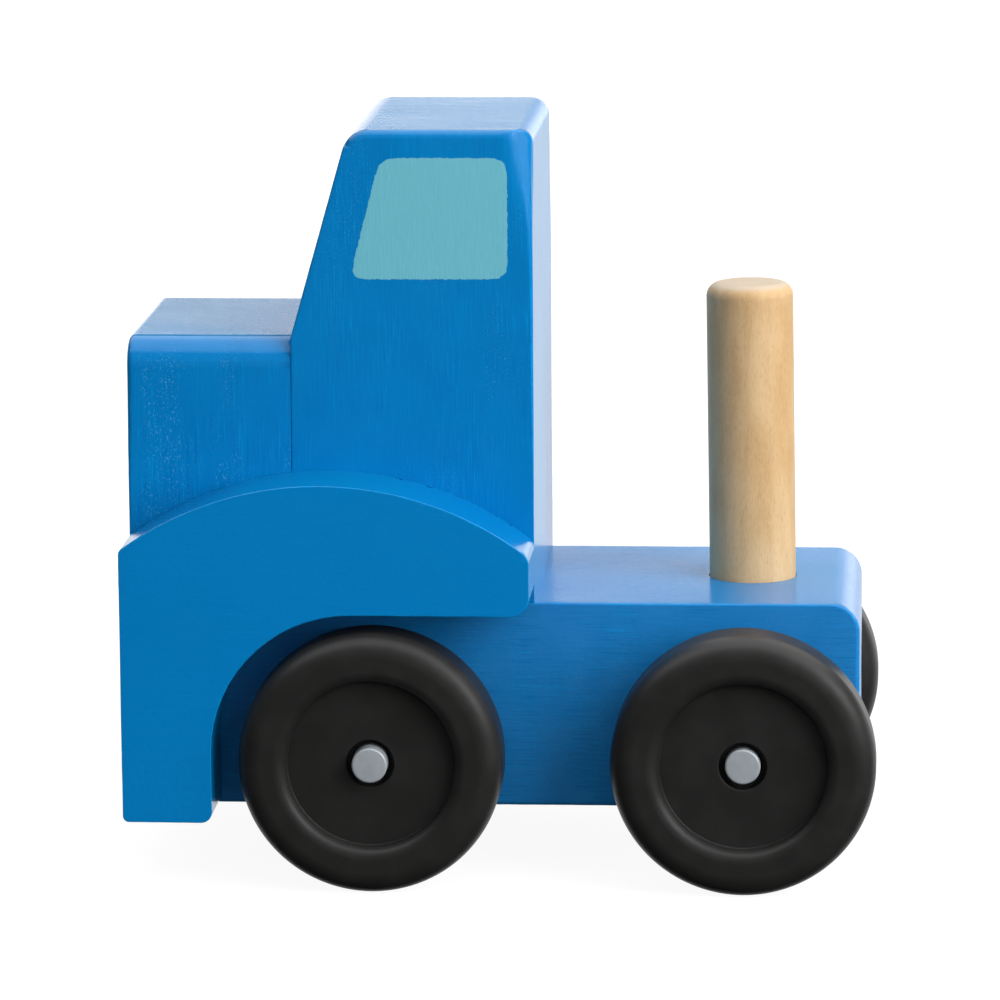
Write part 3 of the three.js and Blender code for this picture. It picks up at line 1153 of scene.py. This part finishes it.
@dataclass
class CabBlock:
    """The tall block with the raked front and soft roof corners."""

    truck: Truck
    rake: float = 8.6
    front_round: float = 3.8
    back_round: float = 2.3
    roof_edge: float = 1.15
    upright_edge: float = 0.8
    front_edge: float = 0.4
    seam_edge: float = 0.03
    corner_flat: float = 3.6
    flat_run_out: float = 17.0
    cell: float = 1.1

    def build(self, finish: bpy.types.Material) -> bpy.types.Object:
        """Makes the block, dressed and riding on the truck body."""
        truck, span = self.truck, self.truck.cab
        bottom = truck.chassis.high.z + truck.glue
        outline = rounded_outline((
            Corner(span.high.x, bottom),
            Corner(span.low.x, bottom),
            Corner(span.low.x, span.high.z, self.back_round),
            Corner(span.high.x - self.rake, span.high.z, self.front_round),
            Corner(span.high.x, truck.hood.high.z),
        ))
        block = rounded_prism(outline, Push.ACROSS, span.low.y, span.high.y, self.edge_round)
        holes = truck.dowel_holes(*UPRIGHT_DOWELS[2:], *FENDER_DOWELS[Side.LEFT], *FENDER_DOWELS[Side.RIGHT])
        flats = tuple(self.sanded_corner(side) for side in Side)
        made = sanded_piece(
            drilled(block, holes), "cab_block_painted", Sanding(seed=3.0, flats=flats), self.cell
        )
        dress(made, finish)
        return settle(made, "cab_block", "truck_body")

    def sanded_corner(self, side: Side) -> SandedFlat:
        """The long flat sanded down each rear corner of the roof, running out down the back edge."""
        span = self.truck.cab
        top = Vector((span.low.x, side.value * span.high.y, span.high.z))
        across = top + Vector((self.corner_flat, 0, 0))
        behind = top - Vector((0, side.value * self.corner_flat * 0.8, 0))
        below = top - Vector((0, 0, self.flat_run_out))
        normal = (behind - across).cross(below - across).normalized()
        if normal.dot(top - across) < 0:
            normal.negate()
        return SandedFlat(point=across, normal=normal, softness=0.2)

    def edge_round(self, u: float, v: float, is_high: bool) -> float:
        """Roof and rear edges are sanded softly, the raked edge and the glued edges hardly."""
        span = self.truck.cab
        if v < self.truck.hood.high.z - 0.5 and u > span.high.x - 0.5:
            return self.seam_edge
        if v < span.low.z + 1:
            return self.seam_edge
        if v > span.high.z - self.back_round:
            return self.roof_edge
        if u < span.low.x + self.back_round:
            return self.upright_edge
        return self.front_edge


@dataclass
class FenderPlate:
    """One plate glued to a side: domed top edge, leg in front, arch over the front wheel."""

    truck: Truck
    side: Side
    dome_radius: float = 48.5
    dome_centre: float = 29.0
    dome_top: float = 59.3
    underside: float = 40.5
    leg_width: float = 12.9
    arch_radius: float = 20.2
    tail_round: float = 2.7
    tip_round: float = 2.2
    leg_round: float = 1.6
    outer_edge: float = 0.16
    inner_edge: float = 0.04
    dome_steps: int = 56
    cell: float = 1.1

    def dome_height(self, distance: float) -> float:
        """Height of the domed edge at a distance behind the front face."""
        across = distance - self.dome_centre
        return self.dome_top - self.dome_radius + math.sqrt(self.dome_radius**2 - across**2)

    def build(self, finish: bpy.types.Material) -> bpy.types.Object:
        """Makes the plate, dressed and riding on the truck body."""
        truck = self.truck
        span = Span.of(f"fender_{self.side.word}")
        length = span.size.x
        places = [length * step / self.dome_steps for step in range(self.dome_steps, -1, -1)]
        dome = [Corner(truck.back(place), self.dome_height(place)) for place in places]
        first, last = dome[0], dome[-1]
        outline = rounded_outline((
            Corner(span.high.x, span.low.z, 0.9),
            Corner(truck.back(self.leg_width), span.low.z, self.leg_round),
            Corner(truck.back(self.leg_width), self.underside, self.arch_radius),
            Corner(span.low.x, self.underside, self.tail_round),
            Corner(first.u, first.v, self.tip_round),
            *dome[3:-2],
            Corner(last.u, last.v, 1.1),
        ))
        outer = self.side.value * max(abs(span.low.y), abs(span.high.y))
        inner = self.side.value * (truck.side + truck.glue)
        block = rounded_prism(outline, Push.ACROSS, min(inner, outer), max(inner, outer), self.edge_round)
        holes = truck.dowel_holes(*FENDER_DOWELS[self.side])
        name = f"fender_{self.side.word}_painted"
        sanding = Sanding(seed=5.0 + self.side.value)
        made = sanded_piece(drilled(block, holes), name, sanding, self.cell)
        dress(made, finish)
        return settle(made, f"fender_{self.side.word}", "truck_body")

    def edge_round(self, u: float, v: float, is_high: bool) -> float:
        """The outer face's edges are sanded, the glued face's edges stay crisp."""
        outer = is_high == (self.side is Side.LEFT)
        return self.outer_edge if outer else self.inner_edge


# ---- Peg, axles, wheels and dowels --------------------------------------------------------------


def turned_piece(
    tree: TurnedTree, name: str, finish: bpy.types.Material, place: Matrix
) -> bpy.types.Object:
    """Runs a turned piece's tree and sets it in place.

    Args:
        tree: the piece's tree.
        name: the piece's name.
        finish: its material.
        place: where the section's axis goes, in metres.

    Returns:
        The finished object.
    """
    mesh = tree.mesh(finish)
    mesh.transform(place)
    return finish_mesh(mesh, name)


@dataclass
class StackingPeg:
    """The bare peg, with a rounded top and a tenon in its blind hole."""

    truck: Truck
    top_round: float = 2.0
    foot_round: float = 0.6

    def build(self, finish: bpy.types.Material) -> bpy.types.Object:
        """Makes the peg, dressed and riding on the truck body."""
        span = self.truck.peg
        sizes = {
            "radius": span.size.x / 2,
            "foot": span.low.z,
            "top": span.high.z,
            "top_round": self.top_round,
            "foot_round": self.foot_round,
        }
        corners = (
            SectionCorner("", "foot", "foot_round"),
            SectionCorner("radius", "foot", "foot_round"),
            SectionCorner("radius", "top", "top_round"),
            SectionCorner("", "top", "top_round"),
        )
        tree = TurnedTree("peg_section", corners, sizes, closed=False, arc_steps=12)
        place = Matrix.Scale(1 / METRE, 4) @ self.truck.peg_place() @ Matrix.Scale(METRE, 4)
        made = turned_piece(tree, "stacking_peg_bare", finish, place)
        return settle(made, "stacking_peg", "truck_body")


@dataclass
class Wheelset:
    """One axle rod with the two moulded wheels pressed on it."""

    axle: Axle
    wheel_radius: float = 19.0
    wheel_width: float = 12.0
    shoulder: float = 3.4
    inner_shoulder: float = 4.0
    disc_radius: float = 12.0
    disc_recess: float = 2.4
    lip_round: float = 1.9
    counterbore_radius: float = 3.45
    counterbore_depth: float = 2.0
    web: float = 3.0
    hub_radius: float = 5.5
    hub_reach: float = 2.6
    rim_inner_radius: float = 14.6
    press_gap: float = 0.08
    mould_round: float = 0.18
    rod_chamfer: float = 0.35

    @property
    def body(self) -> str:
        """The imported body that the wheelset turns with."""
        return f"{self.axle.value}_wheelset"

    def wheel_tree(self, rod_radius: float) -> TurnedTree:
        """The wheel's section, its outer side up and its rim's inner edge at height 0."""
        disc = self.wheel_width - self.disc_recess
        sizes = {
            "bore_radius": rod_radius + self.press_gap,
            "hub_radius": self.hub_radius,
            "hub_height": -self.hub_reach,
            "web_height": disc - self.web,
            "rim_inner_radius": self.rim_inner_radius,
            "rim_height": 0.0,
            "wheel_radius": self.wheel_radius,
            "wheel_width": self.wheel_width,
            "inner_shoulder": self.inner_shoulder,
            "shoulder": self.shoulder,
            "disc_radius": self.disc_radius,
            "disc_height": disc,
            "lip_round": self.lip_round,
            "counterbore_radius": self.counterbore_radius,
            "counterbore_height": disc - self.counterbore_depth,
            "small_round": self.mould_round,
        }
        corners = (
            SectionCorner("bore_radius", "hub_height"),
            SectionCorner("hub_radius", "hub_height"),
            SectionCorner("hub_radius", "web_height"),
            SectionCorner("rim_inner_radius", "web_height"),
            SectionCorner("rim_inner_radius", "rim_height"),
            SectionCorner("wheel_radius", "rim_height", "inner_shoulder"),
            SectionCorner("wheel_radius", "wheel_width", "shoulder"),
            SectionCorner("disc_radius", "wheel_width", "lip_round"),
            SectionCorner("disc_radius", "disc_height"),
            SectionCorner("counterbore_radius", "disc_height"),
            SectionCorner("counterbore_radius", "counterbore_height"),
            SectionCorner("bore_radius", "counterbore_height"),
        )
        return TurnedTree(f"{self.axle.value}_wheel_section", corners, sizes, closed=True, arc_steps=10)

    def rod_tree(self, span: Span) -> TurnedTree:
        """The rod's section about Z, centred."""
        sizes = {
            "radius": span.size.x / 2,
            "low": -span.size.y / 2,
            "high": span.size.y / 2,
            "end_round": self.rod_chamfer,
        }
        corners = (
            SectionCorner("", "low", "end_round"),
            SectionCorner("radius", "low", "end_round"),
            SectionCorner("radius", "high", "end_round"),
            SectionCorner("", "high", "end_round"),
        )
        return TurnedTree(f"{self.axle.value}_rod_section", corners, sizes, closed=False, steps_around=72)

    def build(self, plastic: bpy.types.Material, steel: bpy.types.Material) -> list[bpy.types.Object]:
        """Makes the rod and its wheels.

        Args:
            plastic: the wheels' finish.
            steel: the rod's finish.

        Returns:
            The three objects, riding on the wheelset's body.
        """
        rod_node = f"{self.axle.value}_axle_rod"
        rod = Span.of(rod_node)
        lie = Matrix.Rotation(-math.pi / 2, 4, "X")
        made_rod = turned_piece(
            self.rod_tree(rod), f"{rod_node}_cut", steel, Matrix.Translation(rod.centre / METRE) @ lie
        )
        tree = self.wheel_tree(rod.size.x / 2)
        made = [settle(made_rod, rod_node, self.body)]
        for side in Side:
            node = f"wheel_{self.axle.value}_{side.word}"
            span = Span.of(node)
            face = side.value * max(abs(span.low.y), abs(span.high.y))
            inner = face - side.value * self.wheel_width
            centre = Vector((rod.centre.x, inner, rod.centre.z)) / METRE
            turn = Matrix.Rotation(-side.value * math.pi / 2, 4, "X")
            wheel = turned_piece(tree, f"{node}_moulded", plastic, Matrix.Translation(centre) @ turn)
            made.append(settle(wheel, node, self.body))
        return made


def dress_dowels(finish: bpy.types.Material) -> list[bpy.types.Object]:
    """Gives the hidden dowels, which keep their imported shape, the bare wood finish."""
    dowels = [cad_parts[name] for name in ALL_DOWELS]
    for dowel in dowels:
        dress(dowel, finish)
    return dowels


# ---- Studio -------------------------------------------------------------------------------------


class Reach(Enum):
    """Which part of a surface a light works on: its colour or its gloss."""

    COLOUR = (True, False)
    GLOSS = (False, True)


@dataclass(frozen=True)
class SoftBox:
    """A rectangular light that shines at a target."""

    name: str
    place: tuple[float, float, float]
    width: float
    height: float
    radiance: float
    reach: Reach
    target: tuple[float, float, float] = (0.0, 0.0, 0.04)

    def build(self) -> bpy.types.Object:
        """Hangs the light and points it at its target."""
        lamp = bpy.data.lights.new(self.name, "AREA")
        lamp.shape = "RECTANGLE"
        lamp.size, lamp.size_y = self.width, self.height
        lamp.energy = self.radiance * math.pi * self.width * self.height
        made = bpy.data.objects.new(self.name, lamp)
        made.location = self.place
        made.rotation_mode = "QUATERNION"
        aim = Vector(self.target) - made.location
        made.rotation_quaternion = aim.to_track_quat("-Z", "Y")
        made.visible_camera = False
        made.visible_diffuse, made.visible_glossy = self.reach.value
        bpy.context.scene.collection.objects.link(made)
        return made


@dataclass
class Studio:
    """Pale lit table, white surroundings, soft boxes and the camera."""

    eye: Vector = Vector((-0.0571, 0.8409, 0.2062))
    forward: Vector = Vector((0.0687, -0.9811, -0.1810))
    right: Vector = Vector((-0.9976, -0.0686, -0.0066))
    lens: float = 208.8
    floor_size: float = 30.0
    ambient: float = 0.42
    dim_side: float = 0.004
    floor_glow_with_painted_shade: tuple[float, float] = (0.93, 1.06)  # by the truck, and away from it; the lower glow by the truck is painted shade
    glow_reach: tuple[float, float] = (0.09, 0.22)  # metres from the middle
    paper_dark: Colour = (0.13, 0.13, 0.13)
    paper_light: Colour = (0.14, 0.14, 0.14)
    boxes: tuple[SoftBox, ...] = (
        SoftBox("front_fill", (0.10, 1.50, 0.50), 2.4, 2.0, 0.42, Reach.COLOUR),
        SoftBox("far_fill", (0.30, -1.40, 0.60), 2.0, 1.6, 0.80, Reach.COLOUR),
        SoftBox("overhead_fill", (-0.10, -0.10, 0.80), 1.4, 1.0, 1.0, Reach.COLOUR),
        SoftBox("tail_key", (-0.70, 0.45, 0.40), 0.7, 0.7, 6.6, Reach.COLOUR),
        SoftBox("tail_gloss", (-0.75, 0.30, 0.42), 0.4, 0.4, 5.5, Reach.GLOSS),
        SoftBox("overhead_gloss", (0.0, -0.27, 0.75), 1.8, 1.44, 2.4, Reach.GLOSS, (0.0, -0.27, 0.0)),
        SoftBox("low_wall", (0.0, -1.50, -1.00), 6.0, 2.0, 1.03, Reach.GLOSS, (0.0, 0.0, -1.00)),
        SoftBox("back_wall", (0.0, -1.50, 0.15), 6.0, 0.3, 1.80, Reach.GLOSS, (0.0, 0.0, 0.15)),
        SoftBox("upper_wall", (0.0, -1.50, 0.60), 6.0, 0.6, 0.15, Reach.GLOSS, (0.0, 0.0, 0.60)),
    )

    def build(self) -> None:
        """Sets up everything that isn't the truck."""
        self.floor()
        self.surroundings()
        for box in self.boxes:
            box.build()
        self.camera()
        bpy.context.scene.view_settings.view_transform = "Standard"

    def floor(self) -> None:
        """A wide pale table at the wheels' lowest point, glowing from inside for the camera only; the glow is
        lower by the truck, as painted shade.
        """
        shape = bmesh.new()
        bmesh.ops.create_grid(shape, x_segments=4, y_segments=4, size=self.floor_size / 2)
        made = scratch_object("studio_floor", shape)
        palette = Palette("studio_floor")
        paper = palette.grain(palette.stretched((1, 1, 1)), 0.02, 2.0)
        palette.feed(palette.surface.inputs["Base Color"],
                     palette.blend(palette.ramp(paper, 0.3, 0.7), self.paper_dark, self.paper_light))
        palette.surface.inputs["Roughness"].default_value = 1.0
        palette.surface.inputs["Specular IOR Level"].default_value = 0.0
        seen = palette.tree.nodes.new("ShaderNodeLightPath").outputs["Is Camera Ray"]
        palette.surface.inputs["Emission Color"].default_value = (1, 1, 1, 1)
        x, y, _ = palette.parts(palette.place)
        squares = (palette.math("MULTIPLY", x, x), palette.math("MULTIPLY", y, y))
        away = palette.math("SQRT", palette.math("ADD", *squares))
        # Painted shade: the glow that the camera sees drops near the truck.
        glow = palette.math("MULTIPLY", seen, palette.ramp(away, *self.glow_reach, *self.floor_glow_with_painted_shade))
        palette.feed(palette.surface.inputs["Emission Strength"], glow)
        made.data.materials.append(palette.material)
        made.visible_glossy = False

    def surroundings(self) -> None:
        """White where seen, paler as a light, and dark in mirror reflections between the boxes."""
        world = bpy.data.worlds.new("white_room")
        bpy.context.scene.world = world
        world.use_nodes = True
        tree = world.node_tree
        tree.nodes.clear()
        output = tree.nodes.new("ShaderNodeOutputWorld")
        light = tree.nodes.new("ShaderNodeBackground")
        rays = tree.nodes.new("ShaderNodeLightPath")
        level = None
        for flag, strength in (("Is Glossy Ray", self.dim_side), ("Is Camera Ray", 1.0)):
            pick = tree.nodes.new("ShaderNodeMix")
            pick.inputs[2].default_value = self.ambient
            pick.inputs[3].default_value = strength
            if level is not None:
                tree.links.new(level, pick.inputs[2])
            tree.links.new(rays.outputs[flag], pick.inputs[0])
            level = pick.outputs[0]
        tree.links.new(level, light.inputs["Strength"])
        tree.links.new(light.outputs[0], output.inputs["Surface"])
        light.inputs["Color"].default_value = (1, 1, 1, 1)

    def camera(self) -> None:
        """A long-lens camera a little above the truck, on its left."""
        data = bpy.data.cameras.new("studio_camera")
        data.lens = self.lens
        data.sensor_width = 36.0
        data.clip_start = 0.01
        made = bpy.data.objects.new("studio_camera", data)
        forward = self.forward.normalized()
        right = (self.right - forward * self.right.dot(forward)).normalized()
        up = right.cross(forward)
        made.matrix_world = Matrix.Translation(self.eye) @ Matrix((right, up, -forward)).transposed().to_4x4()
        bpy.context.scene.collection.objects.link(made)
        bpy.context.scene.camera = made


# ---- Assembly -------------------------------------------------------------------------------------


def side_window(truck: Truck) -> PrintedPane:
    """The window printed on each side of the cab: upright behind, raked in front."""
    return PrintedPane((
        (truck.back(32.4), 87.1),
        (truck.back(36.9), 104.6),
        (truck.back(55.1), 104.6),
        (truck.back(55.1), 87.2),
    ))


def windscreen(truck: Truck) -> PrintedPane:
    """The windscreen printed on the raked front."""
    half = truck.side - 4.5
    return PrintedPane(((-half, 87.1), (-half, 103.2), (half, 103.2), (half, 87.1)))


def main() -> None:
    """Builds every sub-assembly in order and reports each piece."""
    logging.basicConfig(level=logging.INFO, format="%(name)s: %(message)s")
    truck = Truck()
    rake = Vector((truck.cab.high.z - truck.hood.high.z, 0, CabBlock.rake)).normalized()
    cab_paint = BluePaint(
        "blue_paint_cab", shift=31.0, side_panes=(side_window(truck),), front_panes=(windscreen(truck),),
        side_face=truck.side, front_plane=(Vector((truck.cab.high.x, 0, truck.hood.high.z)), rake),
    )
    wood = BareWood().build()
    # The deck's base has a little red that the other blues lack: a painted reflection of the pale floor on
    # the chassis sides; its lighter deck and ends are painted light.
    deck_paint = BluePaint(
        "blue_paint_chassis", GrainRun.LENGTHWISE, 1.0, 0.5, 1.0, 0.45, 7.0, base=(0.016, 0.187, 0.49),
        painted_top_end_light=(0.0002, 0.212, 0.53),
    )
    made = [
        ChassisBlock(truck).build(deck_paint.build()),
        HoodBlock(truck).build(BluePaint("blue_paint_hood", specks=1.8, shift=19.0).build()),
        CabBlock(truck).build(cab_paint.build()),
    ]
    for side in Side:
        paint = BluePaint(
            f"blue_paint_fender_{side.word}", GrainRun.LENGTHWISE, 0.2, 0.15, 0.8, 0.12, 43.0 + side.value
        )
        made.append(FenderPlate(truck, side).build(paint.build()))
    made.append(StackingPeg(truck).build(wood))
    plastic, steel = MouldedPlastic().build(), PlatedSteel().build()
    for axle in Axle:
        made += Wheelset(axle).build(plastic, steel)
    made += dress_dowels(wood)
    for piece in made:
        log.info("%s: %d faces", piece.name, len(piece.data.polygons))
    Studio().build()


if __name__ == "__main__":
    main()
